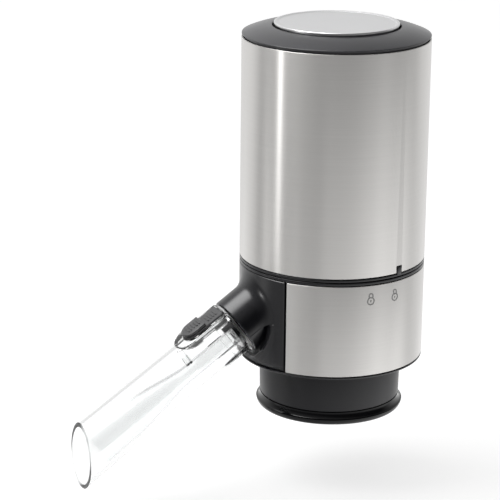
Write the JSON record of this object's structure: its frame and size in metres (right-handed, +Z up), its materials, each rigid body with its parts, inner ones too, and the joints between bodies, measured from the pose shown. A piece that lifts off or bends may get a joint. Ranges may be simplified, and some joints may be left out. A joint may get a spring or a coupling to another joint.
{
  "type": "electric wine aerator",
  "caption": "Battery wine aerator that stands on a bottle's neck: a steel-sleeved upright body with a push button on top and a clear pouring spout sloping down in front.",
  "frame": {"origin": "on the body's axis, in the plane of the base ring's underside, where the bottle's neck enters", "axes": "+Z up along the body's axis, -Y forwards over the spout, +X to the body's left-hand side when it is seen from the spout's end"},
  "size_m": [0.065, 0.1271, 0.1553],
  "materials": {
    "brushed_steel": "brushed along the circumference",
    "bezel_metal": "satin dark grey",
    "button_silver": "satin",
    "black_plastic": "fine satin moulding",
    "gloss_black_plastic": "gloss",
    "grey_plastic": "satin",
    "clear_plastic": "clear gloss",
    "silicone": "matt",
    "spring_steel": "bright drawn wire and plated can",
    "plated_contact": "nickel plate",
    "cell_jacket": "printed film over a steel can",
    "board_laminate": "solder mask"
  },
  "bodies": {
    "base": {"neck_skirt": "black_plastic", "base_ring": "gloss_black_plastic", "bottle_seal": "silicone", "lower_housing": "black_plastic", "lower_sleeve": "brushed_steel", "spout_panel": "black_plastic", "spout_socket": "grey_plastic", "straw_nipple": "grey_plastic", "wine_pipe": "silicone", "pump_head": "grey_plastic", "pump_valve_plate": "clear_plastic", "pump_diaphragm": "silicone", "pump_frame": "grey_plastic", "wobble_plate": "grey_plastic", "motor_can": "spring_steel", "bayonet_deck": "black_plastic", "deck_screw_1": "spring_steel", "deck_screw_2": "spring_steel", "deck_screw_3": "spring_steel", "deck_screw_4": "spring_steel", "battery_cradle": "black_plastic", "aaa_cell_1": "cell_jacket", "aaa_cell_2": "cell_jacket", "aaa_cell_3": "cell_jacket", "aaa_cell_4": "cell_jacket", "aaa_cell_5": "cell_jacket", "aaa_cell_6": "cell_jacket", "cell_bridge_low_1": "plated_contact", "cell_bridge_low_2": "plated_contact", "cell_bridge_low_3": "plated_contact", "cell_bridge_high_1": "plated_contact", "cell_bridge_high_2": "plated_contact", "cell_terminal_plus": "plated_contact", "cell_terminal_minus": "plated_contact", "circuit_board": "board_laminate", "switch_body": "black_plastic"},
    "rotor": {"motor_shaft": "spring_steel", "pump_eccentric": "black_plastic"},
    "plunger": {"switch_plunger": "gloss_black_plastic"},
    "cover": {"upper_sleeve": "brushed_steel", "cover_liner": "black_plastic", "index_ring": "black_plastic", "top_bezel": "bezel_metal", "button_guide": "black_plastic", "button_spring": "spring_steel"},
    "button": {"push_button": "button_silver", "button_stem": "black_plastic"},
    "spout": {"clear_spout": "clear_plastic", "spout_plug": "gloss_black_plastic", "spout_o_ring": "silicone", "spout_nozzle": "clear_plastic", "vent_seat": "black_plastic"},
    "slider": {"vent_slider": "black_plastic"}
  },
  "joints": [
    {"name": "cover_twist", "type": "hinge", "parent": "base", "child": "cover", "pos_m": [0, 0, 0.0553], "axis": [0, 0, 1], "range_deg": [-17.5, 0]},
    {"name": "button_press", "type": "slide", "parent": "cover", "child": "button", "axis": [0, 0, -1], "range_m": [0, 0.0015], "stiffness_N_per_m": 600, "springref_m": -0.001, "deforming": ["button_spring"]},
    {"name": "switch_press", "type": "slide", "parent": "base", "child": "plunger", "axis": [0, 0, -1], "range_m": [0, 0.0015], "stiffness_N_per_m": 150, "springref_m": -0.001},
    {"name": "motor_spin", "type": "hinge", "parent": "base", "child": "rotor", "pos_m": [0, 0.0135, 0.0373], "axis": [0, 0, 1], "continuous": true},
    {"name": "spout_pull", "type": "slide", "parent": "base", "child": "spout", "axis": [0, -0.831, -0.5563], "range_m": [0, 0.016]},
    {"name": "vent_slide", "type": "slide", "parent": "spout", "child": "slider", "axis": [0, 0.831, 0.5563], "range_m": [0, 0.006]}
  ],
  "couplings": [
    {"joint": "switch_press", "follows": "button_press", "ratio": 1}
  ]
}
